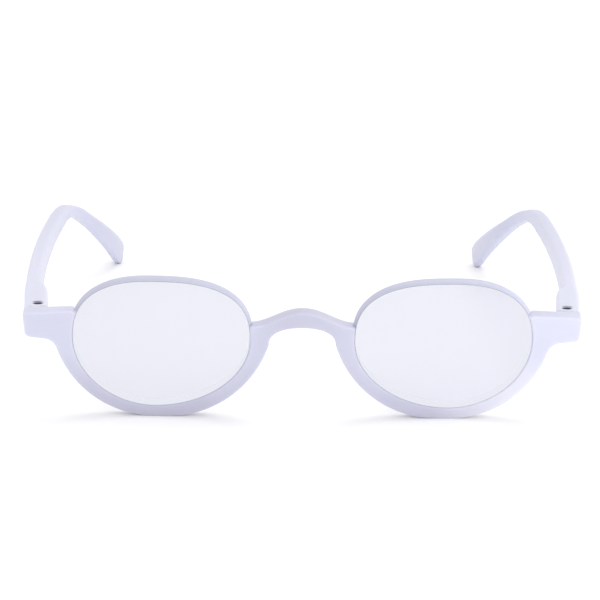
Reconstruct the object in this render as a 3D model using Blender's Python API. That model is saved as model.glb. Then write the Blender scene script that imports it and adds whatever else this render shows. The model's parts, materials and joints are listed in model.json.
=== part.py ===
"""Reading glasses: oval lenses held in lower rims, a raised saddle bridge and folding temples.

Metres, +Z up. The front faces -Y and stands on the bottoms of its rims. The temples run back
to +Y and rest on their tips. The wearer's right is at -X. The origin lies on the resting
plane, under the middle of the bounding box.
"""

import math

import bmesh
import bpy
from mathutils import Vector

MM = 0.001

# Clearances between the pieces
SEAT_CLEARANCE = 0.2 * MM
RUNNING_CLEARANCE = 0.3 * MM
SCREW_CLEARANCE = 0.1 * MM

# How full an oval's corners are: round for circles and ellipses, more is nearer to a box
ROUND = 2.0

# Lens outline: reaches from its centre, and its fullness
LENS_REACH_NOSE = 23.44 * MM
LENS_REACH_OUTER = 19.8 * MM
LENS_REACH_TOP = 15.55 * MM
LENS_REACH_BOTTOM = 18.0 * MM
LENS_TOP_NOSE_FULLNESS = 2.65
LENS_TOP_OUTER_FULLNESS = 2.45
LENS_BOTTOM_FULLNESS = 1.95
LENS_EDGE_INSET = 0.05 * MM
LENS_FRONT_DOME = 1.3 * MM
LENS_BACK_HOLLOW = 0.9 * MM
LENS_RIDGE = 0.7 * MM

# Front: thickness, lean of its top towards -Y, and radius of its bow seen from above
FRONT_THICKNESS = 3.6 * MM
FRONT_LEAN = math.radians(9.0)
FRONT_BOW_RADIUS = 1500.0 * MM
FRONT_EDGE_ROUND = 0.5 * MM

# Rims, seen from the front
NOSE_GAP = 13.5 * MM
RIM_WIDTH_NOSE = 5.9 * MM
RIM_WIDTH_OUTER = 5.6 * MM
RIM_WIDTH_BOTTOM = 3.05 * MM
RIM_CENTRE_TO_NOSE = 1.6 * MM
RIM_CENTRE_UP = 9.15 * MM
RIM_NOSE_FULLNESS = 2.08
RIM_OUTER_FULLNESS = 2.18

# Bridge: arch over the nose and the hump above it, heights from the lens centre
ARCH_SPRING = -1.0 * MM
ARCH_TOP = 3.55 * MM
ARCH_FULLNESS = 2.3
BRIDGE_HEIGHT = 4.0 * MM
WING_TIP_UP = 3.7 * MM
HUMP_SHARPNESS = 1.06

# End pieces: top and height at the outer end, and how both grow towards the lens
END_PIECE_LENGTH = 11.95 * MM
END_PIECE_TOP = 6.2 * MM
END_PIECE_HEIGHT = 6.25 * MM
END_TOP_RISE = 0.78 * MM
END_UNDERSIDE_FALL = 0.75 * MM
END_SIDE_LEAN = 0.45 * MM
END_TOP_CORNER = 0.6 * MM
END_BOTTOM_CORNER = 1.3 * MM
END_FILLET = 3.4 * MM
NOTCH_LENGTH = 0.95 * MM
NOTCH_DROP = 0.55 * MM

# Hinge: the front's pad and knuckle, the temple's block and fork, and the screw
PAD_PROUD = 0.3 * MM
PAD_BELOW_TOP = 0.1 * MM
PAD_INSET = 0.25 * MM
KNUCKLE_RADIUS = 1.8 * MM
TOP_TAB = 2.0 * MM
BOTTOM_TAB = 1.7 * MM
BLOCK_WIDTH = 5.8 * MM
BLOCK_HEIGHT = 6.1 * MM
BLOCK_LENGTH = 12.5 * MM
BLOCK_TAPER = 7.5 * MM
BLOCK_SQUARENESS = 6.5
AXIS_FROM_BLOCK_FACES = 2.6 * MM
SCREW_RADIUS = 0.7 * MM
SCREW_CHAMFER = 0.2 * MM
HEAD_RADIUS = 1.05 * MM
HEAD_HEIGHT = 0.5 * MM
HEAD_SUNK = 0.25 * MM
DRIVE_SLOT_WIDTH = 0.3 * MM
DRIVE_SLOT_DEPTH = 0.25 * MM
SCREW_END_INSET = 0.3 * MM

# Temple: lengths along it, its turns in plan and its slopes, section sizes
STRAIGHT_LENGTH = 82.7 * MM
BEND_LENGTH = 31.3 * MM
TIP_LENGTH = 32.3 * MM
SPLAY_AT_HINGE = math.radians(-5.0)
BOW_BEFORE_BEND = math.radians(5.7)
BOW_AFTER_BEND = math.radians(21.9)
BOW_AT_END = math.radians(8.1)
SLOPE_AT_HINGE = math.radians(3.05)
SLOPE_BEFORE_BEND = math.radians(-0.2)
SLOPE_OF_TIP = math.radians(-31.5)
TEMPLE_HEIGHT_FRONT = 6.0 * MM
TEMPLE_HEIGHT_BACK = 5.15 * MM
BEND_HEIGHT = 3.2 * MM
BEND_END_HEIGHT = 3.75 * MM
TIP_HEIGHT = 6.9 * MM
TIP_END_HEIGHT = 6.5 * MM
TIP_WIDEST_FROM_END = 5.0 * MM
TEMPLE_THICKNESS_FRONT = 4.55 * MM
TEMPLE_THICKNESS_BACK = 3.75 * MM
TIP_THICKNESS = 2.65 * MM
TEMPLE_FULLNESS = 3.3
TIP_END_ROUND = 1.6 * MM

# Depth of the small flats that the rims and tips rest on
REST_FLAT = 0.15 * MM

# Facets, and how far a cut reaches past what it cuts
OUTLINE_STEPS = 10
RIM_STEPS = 50
CORNER_STEPS = 5
LENS_STATIONS = 72
LENS_RINGS = (0.82, 0.6, 0.34)
SECTION_POINTS = 20
WALK_STEP = 1.0 * MM
TIP_ROUND_ANGLES = (25, 50, 75)
ROUND_SIDES = 32
SHARP_ANGLE = math.radians(35)
CUT_MARGIN = 2.0 * MM

# Places that follow from the sizes above
HALF_THICKNESS = FRONT_THICKNESS / 2
LENS_CENTRE_U = NOSE_GAP / 2 + RIM_WIDTH_NOSE + SEAT_CLEARANCE + LENS_REACH_NOSE
LENS_CENTRE_W = RIM_WIDTH_BOTTOM + SEAT_CLEARANCE + LENS_REACH_BOTTOM
RIM_CENTRE_U = LENS_CENTRE_U - RIM_CENTRE_TO_NOSE
RIM_CENTRE_W = LENS_CENTRE_W + RIM_CENTRE_UP
RIM_OUTER_U = LENS_CENTRE_U + LENS_REACH_OUTER + SEAT_CLEARANCE + RIM_WIDTH_OUTER
FRONT_HALF_WIDTH = LENS_CENTRE_U + LENS_REACH_OUTER + SEAT_CLEARANCE + END_PIECE_LENGTH
END_TOP_W = LENS_CENTRE_W + END_PIECE_TOP
END_BOTTOM_W = END_TOP_W - END_PIECE_HEIGHT
ARCH_SPRING_W = LENS_CENTRE_W + ARCH_SPRING
ARCH_TOP_W = LENS_CENTRE_W + ARCH_TOP
WING_TIP_W = LENS_CENTRE_W + WING_TIP_UP
GROOVE_DEPTH = LENS_RIDGE + math.sqrt(2) * SEAT_CLEARANCE
HINGE_X = FRONT_HALF_WIDTH - BLOCK_WIDTH + AXIS_FROM_BLOCK_FACES
TEMPLE_LENGTH = STRAIGHT_LENGTH + BEND_LENGTH + TIP_LENGTH


def bow_depth(u):
    """How far the bowed front has gone back at a distance from its middle."""
    return u * u / (2 * FRONT_BOW_RADIUS)


def front_drop():
    """How far the front is lowered so that the resting plane cuts small flats on the rims."""
    rounding = FRONT_EDGE_ROUND * (math.cos(FRONT_LEAN) + math.sin(FRONT_LEAN) - 1)
    return rounding + bow_depth(RIM_CENTRE_U) * math.sin(FRONT_LEAN) + REST_FLAT


def front_point(u, w, depth):
    """A point of the front: u across, w up along the lean, depth behind the front face."""
    y = depth + bow_depth(u)
    return Vector((
        u,
        y * math.cos(FRONT_LEAN) - w * math.sin(FRONT_LEAN),
        w * math.cos(FRONT_LEAN) + y * math.sin(FRONT_LEAN) - front_drop(),
    ))


PAD_Y = front_point(HINGE_X, END_BOTTOM_W, FRONT_THICKNESS).y + PAD_PROUD
HINGE_Y = PAD_Y + RUNNING_CLEARANCE + AXIS_FROM_BLOCK_FACES
BLOCK_TOP = front_point(HINGE_X, END_TOP_W, FRONT_THICKNESS).z - PAD_BELOW_TOP
BLOCK_BOTTOM = BLOCK_TOP - BLOCK_HEIGHT
KNUCKLE_TOP = BLOCK_TOP - TOP_TAB - RUNNING_CLEARANCE
KNUCKLE_BOTTOM = BLOCK_BOTTOM + BOTTOM_TAB + RUNNING_CLEARANCE
HEAD_TOP = BLOCK_TOP - HEAD_SUNK
COUNTERBORE_FLOOR = HEAD_TOP - HEAD_HEIGHT - SCREW_CLEARANCE
SCREW_END = BLOCK_BOTTOM + SCREW_END_INSET


def signed_power(value, power):
    return math.copysign(abs(value) ** power, value)


def oval_point(centre, reach, fullness, angle):
    """A point at an angle of an oval whose corners are as full as fullness says."""
    return (
        centre[0] + reach[0] * signed_power(math.cos(angle), 2 / fullness),
        centre[1] + reach[1] * signed_power(math.sin(angle), 2 / fullness),
    )


def oval_angle(rise, reach, fullness):
    """The angle at which an oval has risen this far above its centre."""
    return math.asin((rise / reach) ** (fullness / 2))


def lens_point(angle):
    """A point of the lens edge on the +X side; angle 0 is outermost, a quarter turn is the top."""
    outer = math.cos(angle) >= 0
    upper = math.sin(angle) >= 0
    reach_u = LENS_REACH_OUTER if outer else LENS_REACH_NOSE
    reach_w = LENS_REACH_TOP if upper else LENS_REACH_BOTTOM
    top_fullness = LENS_TOP_OUTER_FULLNESS if outer else LENS_TOP_NOSE_FULLNESS
    fullness = top_fullness if upper else LENS_BOTTOM_FULLNESS
    return oval_point((LENS_CENTRE_U, LENS_CENTRE_W), (reach_u, reach_w), fullness, angle)


def lens_offset_point(angle, distance):
    """The lens edge moved outwards, square to itself."""
    nearby = math.pi / LENS_STATIONS / 4
    before = Vector(lens_point(angle - nearby))
    after = Vector(lens_point(angle + nearby))
    along = (after - before).normalized()
    here = Vector(lens_point(angle))
    return here.x + along.y * distance, here.y - along.x * distance


def spread(first, last, steps):
    """Evenly spaced values from first to last."""
    return [first + (last - first) * i / steps for i in range(steps + 1)]


def rounded_corner(before, corner, after, radius):
    """Points of an arc that rounds a corner between two straight sides."""
    corner = Vector(corner)
    to_before = (Vector(before) - corner).normalized()
    to_after = (Vector(after) - corner).normalized()
    half = to_before.angle(to_after) / 2
    centre = corner + (to_before + to_after).normalized() * radius / math.sin(half)
    start = (corner + to_before * radius / math.tan(half) - centre).normalized()
    stop = (corner + to_after * radius / math.tan(half) - centre).normalized()
    shares = spread(0.0, 1.0, CORNER_STEPS)
    return [tuple(centre + start.slerp(stop, share) * radius) for share in shares]


def bridge_top(u, wing_u):
    """Height of the bridge's hump, which falls from the middle to the wing tips."""
    crest = ARCH_TOP_W + BRIDGE_HEIGHT
    fall = (1 - math.cos(math.pi * (u / wing_u) ** HUMP_SHARPNESS)) / 2
    return crest + (WING_TIP_W - crest) * fall


def rim_reach(angle):
    """Reach and fullness of the rim's outer outline on the side that the angle points to."""
    if math.cos(angle) >= 0:
        return RIM_OUTER_U - RIM_CENTRE_U, RIM_OUTER_FULLNESS
    return RIM_CENTRE_U - NOSE_GAP / 2, RIM_NOSE_FULLNESS


def rim_point(angle):
    """A point of the rim's outer outline, below the level of its centre."""
    reach_u, fullness = rim_reach(angle)
    return oval_point((RIM_CENTRE_U, RIM_CENTRE_W), (reach_u, RIM_CENTRE_W), fullness, angle)


def seat_outline():
    """The lens seat from the bridge's wing tip, round the bottom, to the end piece's notch."""
    nose = oval_angle(WING_TIP_UP, LENS_REACH_TOP, LENS_TOP_NOSE_FULLNESS)
    notch_up = END_PIECE_TOP + END_TOP_RISE - NOTCH_DROP
    outer = oval_angle(notch_up, LENS_REACH_TOP, LENS_TOP_OUTER_FULLNESS)
    angles = spread(math.pi - nose, 2 * math.pi + outer, RIM_STEPS)
    return [lens_offset_point(angle, SEAT_CLEARANCE) for angle in angles]


def half_outline():
    """The +X half of the front's outline, clockwise from the bridge's top to its underside."""
    seat = seat_outline()
    wing_u = seat[0][0]
    top = [(u, bridge_top(u, wing_u)) for u in spread(0.0, wing_u, OUTLINE_STEPS)][:-1]

    notch_top = (seat[-1][0] + NOTCH_LENGTH, END_TOP_W + END_TOP_RISE)
    top_corner = (FRONT_HALF_WIDTH, END_TOP_W)
    bottom_corner = (FRONT_HALF_WIDTH - END_SIDE_LEAN, END_BOTTOM_W)
    below_rim_centre = RIM_CENTRE_W - END_BOTTOM_W + END_UNDERSIDE_FALL
    corner_angle = -oval_angle(below_rim_centre, RIM_CENTRE_W, RIM_OUTER_FULLNESS)
    fillet_corner = rim_point(corner_angle)
    fillet_angle = -oval_angle(below_rim_centre + END_FILLET, RIM_CENTRE_W, RIM_OUTER_FULLNESS)
    under_fillet = rim_point(fillet_angle)
    end_piece = [notch_top]
    end_piece += rounded_corner(notch_top, top_corner, bottom_corner, END_TOP_CORNER)
    end_piece += rounded_corner(top_corner, bottom_corner, fillet_corner, END_BOTTOM_CORNER)
    end_piece += rounded_corner(bottom_corner, fillet_corner, under_fillet, END_FILLET)

    spring = RIM_CENTRE_W - ARCH_SPRING_W
    spring_angle = oval_angle(spring, RIM_CENTRE_W, RIM_NOSE_FULLNESS) - math.pi
    angles = spread(fillet_angle, spring_angle, RIM_STEPS)
    rim = [rim_point(angle) for angle in angles]

    arch_reach = (rim[-1][0], ARCH_TOP_W - ARCH_SPRING_W)
    angles = spread(0.0, math.pi / 2, OUTLINE_STEPS)[1:]
    arch = [oval_point((0.0, ARCH_SPRING_W), arch_reach, ARCH_FULLNESS, a) for a in angles]
    return top + seat + end_piece + rim + arch


def new_object(name, bm, material=None):
    """An object made from a bmesh, with its normals facing out."""
    bmesh.ops.recalc_face_normals(bm, faces=bm.faces)
    mesh = bpy.data.meshes.new(name)
    bm.to_mesh(mesh)
    bm.free()
    if material:
        mesh.materials.append(material)
        mesh.shade_smooth()
        mesh.set_sharp_from_angle(angle=SHARP_ANGLE)
    obj = bpy.data.objects.new(name, mesh)
    bpy.context.collection.objects.link(obj)
    return obj


def cutter(name, bm):
    """A hidden helper for a Boolean."""
    obj = new_object(name, bm)
    obj.display_type = "WIRE"
    obj.hide_render = True
    return obj


def boolean(target, tool, operation):
    modifier = target.modifiers.new(tool.name, "BOOLEAN")
    modifier.operation = operation
    modifier.solver = "EXACT"
    modifier.object = tool


def loft(bm, rings, closed=False):
    """Bridge rings of points, one to the next, and cap the ends unless the loft closes."""
    loops = [[bm.verts.new(point) for point in ring] for ring in rings]
    following = loops[1:] + loops[:1] if closed else loops[1:]
    for ring, after in zip(loops, following):
        for i, vert in enumerate(ring):
            j = (i + 1) % len(ring)
            bm.faces.new((vert, ring[j], after[j], after[i]))
    if not closed:
        bm.faces.new(loops[0])
        bm.faces.new(loops[-1])
    return loops


def prism(points, bottom, top):
    """An upright prism over a plan outline."""
    bm = bmesh.new()
    loft(bm, [[(x, y, z) for x, y in points] for z in (bottom, top)])
    return bm


def box(x_range, y_range, z_range):
    corners = [(x_range[0], y_range[0]), (x_range[1], y_range[0])]
    corners += [(x_range[1], y_range[1]), (x_range[0], y_range[1])]
    return prism(corners, *z_range)


def circle(centre, radius, sides=ROUND_SIDES):
    points = []
    for i in range(sides):
        angle = 2 * math.pi * i / sides
        points.append((centre[0] + radius * math.cos(angle), centre[1] + radius * math.sin(angle)))
    return points


def turned(centre, profile):
    """A turned body about an upright axis, from (radius, height) pairs."""
    bm = bmesh.new()
    loft(bm, [[(x, y, z) for x, y in circle(centre, radius)] for radius, z in profile])
    return bm


def mirrored(points):
    return [(-x, y) for x, y in reversed(points)]


def front_blank():
    """The flat front with rounded edges, then curved and leant."""
    half = half_outline()
    outline = half + mirrored(half[1:-1])
    bm = bmesh.new()
    face = bm.faces.new([bm.verts.new((u, w, 0.0)) for u, w in outline])
    grown = bmesh.ops.extrude_face_region(bm, geom=[face])
    verts = [item for item in grown["geom"] if isinstance(item, bmesh.types.BMVert)]
    bmesh.ops.translate(bm, verts=verts, vec=(0.0, 0.0, FRONT_THICKNESS))
    rim_edges = [edge for edge in bm.edges if edge.verts[0].co.z == edge.verts[1].co.z]
    bmesh.ops.bevel(
        bm, geom=rim_edges, offset=FRONT_EDGE_ROUND, segments=2, profile=0.5,
        affect="EDGES", clamp_overlap=True,
    )
    caps = [face for face in bm.faces if len(face.verts) > 4]
    bmesh.ops.triangulate(bm, faces=caps, quad_method="BEAUTY", ngon_method="BEAUTY")
    for vert in bm.verts:
        vert.co = front_point(*vert.co)
    return bm


def groove_ring(side):
    """The V groove of one rim as a ring round the lens, to be cut out of the front."""
    rings = []
    margin = RUNNING_CLEARANCE
    for i in range(LENS_STATIONS):
        angle = 2 * math.pi * i / LENS_STATIONS
        u, w = lens_offset_point(angle, GROOVE_DEPTH)
        ring = [front_point(side * u, w, HALF_THICKNESS)]
        u, w = lens_offset_point(angle, -margin)
        for depth in (-GROOVE_DEPTH - margin, GROOVE_DEPTH + margin):
            ring.append(front_point(side * u, w, HALF_THICKNESS + depth))
        rings.append(ring)
    bm = bmesh.new()
    loft(bm, rings, closed=True)
    return bm


def knuckle_plan(side):
    """The front's middle knuckle seen from above, round about the hinge axis."""
    x = side * HINGE_X
    reach = (KNUCKLE_RADIUS, KNUCKLE_RADIUS)
    angles = spread(0.0, math.pi, ROUND_SIDES // 2)
    points = [(x + KNUCKLE_RADIUS, PAD_Y - PAD_PROUD)]
    points += [oval_point((x, HINGE_Y), reach, ROUND, angle) for angle in angles]
    points.append((x - KNUCKLE_RADIUS, PAD_Y - PAD_PROUD))
    return points


def make_front(material):
    front = new_object("front_frame", front_blank(), material)
    for side, word in ((-1, "right"), (1, "left")):
        inner = side * (FRONT_HALF_WIDTH - BLOCK_WIDTH + PAD_INSET)
        outer = side * (FRONT_HALF_WIDTH - PAD_INSET)
        x_range = sorted((inner, outer))
        pad = box(x_range, (PAD_Y - HALF_THICKNESS, PAD_Y), (BLOCK_BOTTOM, BLOCK_TOP))
        boolean(front, cutter(f"{word}_hinge_pad_shape", pad), "UNION")
        knuckle = prism(knuckle_plan(side), KNUCKLE_BOTTOM, KNUCKLE_TOP)
        boolean(front, cutter(f"{word}_knuckle_shape", knuckle), "UNION")
        boolean(front, cutter(f"{word}_groove_shape", groove_ring(side)), "DIFFERENCE")
        hole = circle((side * HINGE_X, HINGE_Y), SCREW_RADIUS + SCREW_CLEARANCE)
        hole = prism(hole, KNUCKLE_BOTTOM - CUT_MARGIN, KNUCKLE_TOP + CUT_MARGIN)
        boolean(front, cutter(f"{word}_knuckle_hole_shape", hole), "DIFFERENCE")
    boolean(front, cutter("front_rest_plane_shape", ground_box()), "DIFFERENCE")
    return [front]


def ground_box():
    """What lies below the resting plane."""
    reach = FRONT_HALF_WIDTH + CUT_MARGIN
    return box((-reach, reach), (-reach, TEMPLE_LENGTH + reach), (-reach, 0.0))


def make_lens(side, word, material):
    """A lens whose edge ridge sits in the rim's groove, domed in front and hollow behind."""
    angles = [2 * math.pi * i / LENS_STATIONS for i in range(LENS_STATIONS)]
    front_depth = LENS_EDGE_INSET
    back_depth = FRONT_THICKNESS - LENS_EDGE_INSET

    def edge_ring(distance, depth):
        edge = [lens_offset_point(angle, distance) for angle in angles]
        return [front_point(side * u, w, depth) for u, w in edge]

    def face_ring(share, edge_depth, rise):
        depth = edge_depth - rise * (1 - share * share)
        points = []
        for angle in angles:
            u, w = lens_point(angle)
            u = LENS_CENTRE_U + (u - LENS_CENTRE_U) * share
            w = LENS_CENTRE_W + (w - LENS_CENTRE_W) * share
            points.append(front_point(side * u, w, depth))
        return points

    rings = [face_ring(share, front_depth, LENS_FRONT_DOME) for share in reversed(LENS_RINGS)]
    rings.append(edge_ring(0.0, front_depth))
    rings.append(edge_ring(0.0, HALF_THICKNESS - LENS_RIDGE))
    rings.append(edge_ring(LENS_RIDGE, HALF_THICKNESS))
    rings.append(edge_ring(0.0, HALF_THICKNESS + LENS_RIDGE))
    rings.append(edge_ring(0.0, back_depth))
    rings += [face_ring(share, back_depth, LENS_BACK_HOLLOW) for share in LENS_RINGS]
    bm = bmesh.new()
    loft(bm, rings)
    ends = [face for face in bm.faces if len(face.verts) > 4]
    for face, depth in zip(ends, (front_depth - LENS_FRONT_DOME, back_depth - LENS_BACK_HOLLOW)):
        fan = bmesh.ops.poke(bm, faces=[face])
        fan["verts"][0].co = front_point(side * LENS_CENTRE_U, LENS_CENTRE_W, depth)
    return new_object(f"{word}_lens", bm, material)


def ease(share):
    """A smooth 0 to 1 turn."""
    share = min(max(share, 0.0), 1.0)
    return share * share * (3 - 2 * share)


def along_points(place, stops):
    """A value read between (place, value) stops, joined by straight lines."""
    for (first, low), (second, high) in zip(stops, stops[1:]):
        if place <= second:
            return low + (high - low) * max(place - first, 0.0) / (second - first)
    return stops[-1][1]


def temple_heading(place):
    """Direction of the +X temple at a distance along it: inward turn and upward slope."""
    straight = min(place / STRAIGHT_LENGTH, 1.0)
    bend = ease((place - STRAIGHT_LENGTH) / BEND_LENGTH)
    after = max((place - STRAIGHT_LENGTH - BEND_LENGTH) / TIP_LENGTH, 0.0)
    turn = SPLAY_AT_HINGE + (BOW_BEFORE_BEND - SPLAY_AT_HINGE) * straight
    turn += (BOW_AFTER_BEND - BOW_BEFORE_BEND) * bend
    turn += (BOW_AT_END - BOW_AFTER_BEND) * after
    slope = SLOPE_AT_HINGE + (SLOPE_BEFORE_BEND - SLOPE_AT_HINGE) * straight
    slope += (SLOPE_OF_TIP - SLOPE_BEFORE_BEND) * bend
    return turn, slope


def heading_vector(place):
    turn, slope = temple_heading(place)
    return Vector((
        -math.sin(turn) * math.cos(slope),
        math.cos(turn) * math.cos(slope),
        math.sin(slope),
    ))


def temple_centre_line(places):
    """Centres of the temple's sections, walked along its heading in short steps."""
    point = Vector((
        FRONT_HALF_WIDTH - TEMPLE_THICKNESS_FRONT / 2,
        PAD_Y + RUNNING_CLEARANCE,
        BLOCK_TOP - TEMPLE_HEIGHT_FRONT / 2,
    ))
    here = 0.0
    centres = []
    for place in places:
        count = math.ceil((place - here) / WALK_STEP)
        for i in range(count):
            step = (place - here) / (count - i)
            point = point + heading_vector(here + step / 2) * step
            here += step
        centres.append(point.copy())
    return centres


def temple_places():
    """Distances along the temple where it has a section."""
    taper_end = BLOCK_LENGTH + BLOCK_TAPER
    places = [0.0] + spread(BLOCK_LENGTH, taper_end, 3)
    places += spread(taper_end, STRAIGHT_LENGTH, 6)[1:]
    places += spread(STRAIGHT_LENGTH, STRAIGHT_LENGTH + BEND_LENGTH, 10)[1:]
    tip_round = TEMPLE_LENGTH - TIP_END_ROUND
    places += spread(STRAIGHT_LENGTH + BEND_LENGTH, tip_round, 6)[1:]
    for angle in TIP_ROUND_ANGLES:
        places.append(tip_round + TIP_END_ROUND * math.sin(math.radians(angle)))
    return places + [TEMPLE_LENGTH]


def temple_section(place, centre):
    """One ring of the temple: a full oval that is nearly square and deeper inside at the block."""
    taper = min(max((place - BLOCK_LENGTH) / BLOCK_TAPER, 0.0), 1.0) ** 2
    height = along_points(place, (
        (0.0, TEMPLE_HEIGHT_FRONT),
        (STRAIGHT_LENGTH, TEMPLE_HEIGHT_BACK),
        (STRAIGHT_LENGTH + BEND_LENGTH / 2, BEND_HEIGHT),
        (STRAIGHT_LENGTH + BEND_LENGTH, BEND_END_HEIGHT),
        (TEMPLE_LENGTH - TIP_WIDEST_FROM_END, TIP_HEIGHT),
        (TEMPLE_LENGTH, TIP_END_HEIGHT),
    ))
    thickness = along_points(place, (
        (0.0, TEMPLE_THICKNESS_FRONT),
        (STRAIGHT_LENGTH, TEMPLE_THICKNESS_BACK),
        (TEMPLE_LENGTH, TIP_THICKNESS),
    ))
    over = max(place - (TEMPLE_LENGTH - TIP_END_ROUND), 0.0) / TIP_END_ROUND
    shrink = TIP_END_ROUND * (1 - math.sqrt(max(1 - over * over, 0.0)))
    height -= 2 * shrink
    thickness -= 2 * shrink * TIP_THICKNESS / TIP_HEIGHT
    width = BLOCK_WIDTH + (thickness - BLOCK_WIDTH) * taper
    inward = (width - thickness) / 2
    tall = BLOCK_HEIGHT + (height - BLOCK_HEIGHT) * taper
    lowered = (tall - height) / 2
    fullness = BLOCK_SQUARENESS + (TEMPLE_FULLNESS - BLOCK_SQUARENESS) * taper

    heading = heading_vector(place)
    if place < BLOCK_LENGTH:
        heading = Vector((heading.x, heading.y, 0.0)).normalized() if place else Vector((0, 1, 0))
    side = Vector((heading.y, -heading.x, 0.0)).normalized()
    up = side.cross(heading)
    middle = centre - side * inward - up * lowered
    ring = []
    for i in range(SECTION_POINTS):
        angle = 2 * math.pi * (i + 0.5) / SECTION_POINTS
        a, b = oval_point((0.0, 0.0), (width / 2, tall / 2), fullness, angle)
        ring.append(middle + side * a + up * b)
    return ring


def temple_rings():
    """All sections, tilted a little as a whole so that the tip's flat meets the resting plane."""
    places = temple_places()
    rings = []
    for place, centre in zip(places, temple_centre_line(places)):
        rings.append(temple_section(place, centre))
    lowest = min(point.z for ring in rings for point in ring)
    for place, ring in zip(places, rings):
        share = max(place - BLOCK_LENGTH, 0.0) / (TEMPLE_LENGTH - BLOCK_LENGTH)
        for point in ring:
            point.z -= (lowest + REST_FLAT) * share
    return rings


def fork_relief_plan(side):
    """What is cut off the fork's inner front corner, so that it turns about the hinge axis."""
    radius = AXIS_FROM_BLOCK_FACES
    far = radius + CUT_MARGIN
    angles = spread(-math.pi / 2, -math.pi, ROUND_SIDES // 4)
    points = [(0.0, -far)]
    points += [oval_point((0.0, 0.0), (radius, radius), ROUND, angle) for angle in angles]
    points += [(-far, 0.0), (-far, -far)]
    return [(side * (HINGE_X + x), HINGE_Y + y) for x, y in points]


def fork_slot(side):
    """The slot for the front's knuckle, open to the front and to the inner side."""
    reach = KNUCKLE_RADIUS + RUNNING_CLEARANCE
    inner = side * (HINGE_X - AXIS_FROM_BLOCK_FACES - CUT_MARGIN)
    outer = side * (HINGE_X + reach)
    y_range = (PAD_Y - CUT_MARGIN, HINGE_Y + reach)
    z_range = (KNUCKLE_BOTTOM - RUNNING_CLEARANCE, KNUCKLE_TOP + RUNNING_CLEARANCE)
    return box(sorted((inner, outer)), y_range, z_range)


def screw_bore(side):
    """The temple's screw hole, with its counterbore for the head."""
    hole = SCREW_RADIUS + SCREW_CLEARANCE
    bore = HEAD_RADIUS + 2 * SCREW_CLEARANCE
    return turned((side * HINGE_X, HINGE_Y), (
        (hole, BLOCK_BOTTOM - CUT_MARGIN),
        (hole, COUNTERBORE_FLOOR),
        (bore, COUNTERBORE_FLOOR),
        (bore, BLOCK_TOP + CUT_MARGIN),
    ))


def make_temple(side, word, material):
    """A temple lofted along its centre line, with the hinge fork cut into its block."""
    bm = bmesh.new()
    rings = temple_rings()
    loft(bm, [[(side * p.x, p.y, p.z) for p in ring] for ring in rings])
    temple = new_object(f"{word}_temple", bm, material)
    relief = prism(fork_relief_plan(side), BLOCK_BOTTOM - CUT_MARGIN, BLOCK_TOP + CUT_MARGIN)
    cuts = {
        "fork_relief": relief,
        "fork_slot": fork_slot(side),
        "screw_bore": screw_bore(side),
        "rest_plane": ground_box(),
    }
    for cut, shape in cuts.items():
        boolean(temple, cutter(f"{word}_temple_{cut}_shape", shape), "DIFFERENCE")
    return temple


def make_screw(side, word, material):
    """The hinge screw: slotted head in the top tab, shank down into the bottom tab."""
    centre = (side * HINGE_X, HINGE_Y)
    bm = turned(centre, (
        (SCREW_RADIUS - SCREW_CHAMFER, SCREW_END),
        (SCREW_RADIUS, SCREW_END + SCREW_CHAMFER),
        (SCREW_RADIUS, HEAD_TOP - HEAD_HEIGHT),
        (HEAD_RADIUS, HEAD_TOP - HEAD_HEIGHT),
        (HEAD_RADIUS, HEAD_TOP),
    ))
    screw = new_object(f"{word}_hinge_screw", bm, material)
    x_range = (centre[0] - 2 * HEAD_RADIUS, centre[0] + 2 * HEAD_RADIUS)
    y_range = (centre[1] - DRIVE_SLOT_WIDTH / 2, centre[1] + DRIVE_SLOT_WIDTH / 2)
    slot = box(x_range, y_range, (HEAD_TOP - DRIVE_SLOT_DEPTH, HEAD_TOP + CUT_MARGIN))
    boolean(screw, cutter(f"{word}_drive_slot_shape", slot), "DIFFERENCE")
    return screw


def make_material(name, colour, roughness, metallic=0.0, transmission=0.0):
    material = bpy.data.materials.new(name)
    material.use_nodes = True
    shader = material.node_tree.nodes["Principled BSDF"]
    shader.inputs["Base Color"].default_value = (*colour, 1.0)
    shader.inputs["Roughness"].default_value = roughness
    shader.inputs["Metallic"].default_value = metallic
    shader.inputs["Transmission Weight"].default_value = transmission
    return material


def move_origin(obj, origin):
    """Put an object's origin on a point and leave its shape where it is."""
    for vert in obj.data.vertices:
        vert.co -= origin
    obj.location = origin


def main():
    for obj in list(bpy.data.objects):
        bpy.data.objects.remove(obj)

    plastic = make_material("lilac_plastic", (0.72, 0.72, 0.86), 0.28)
    clear = make_material("lens_plastic", (0.9, 0.91, 0.95), 0.05, transmission=0.9)
    steel = make_material("dark_steel", (0.03, 0.03, 0.05), 0.35, metallic=1.0)

    parts = make_front(plastic)
    for side, word in ((-1, "right"), (1, "left")):
        axis = Vector((side * HINGE_X, HINGE_Y, 0.0))
        parts.append(make_lens(side, word, clear))
        for piece in (make_temple(side, word, plastic), make_screw(side, word, steel)):
            move_origin(piece, axis)
            parts.append(piece)

    depths = [(obj.matrix_basis @ vert.co).y for obj in parts for vert in obj.data.vertices]
    origin = bpy.data.objects.new("glasses_origin", None)
    bpy.context.collection.objects.link(origin)
    origin.location.y = -(min(depths) + max(depths)) / 2
    for obj in bpy.data.objects:
        if obj.type == "MESH":
            obj.parent = origin


main()
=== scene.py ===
"""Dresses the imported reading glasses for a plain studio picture.

Every piece is modelled again, with a finer surface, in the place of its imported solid, and rides
on that solid's body. Metres, +Z up. The front faces -Y and the wearer's right is at -X.
"""

import json
import math

import bmesh
import bpy
from bpy.props import FloatProperty, FloatVectorProperty, PointerProperty
from bpy.types import Operator, Panel, PropertyGroup
from mathutils import Matrix, Vector


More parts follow.
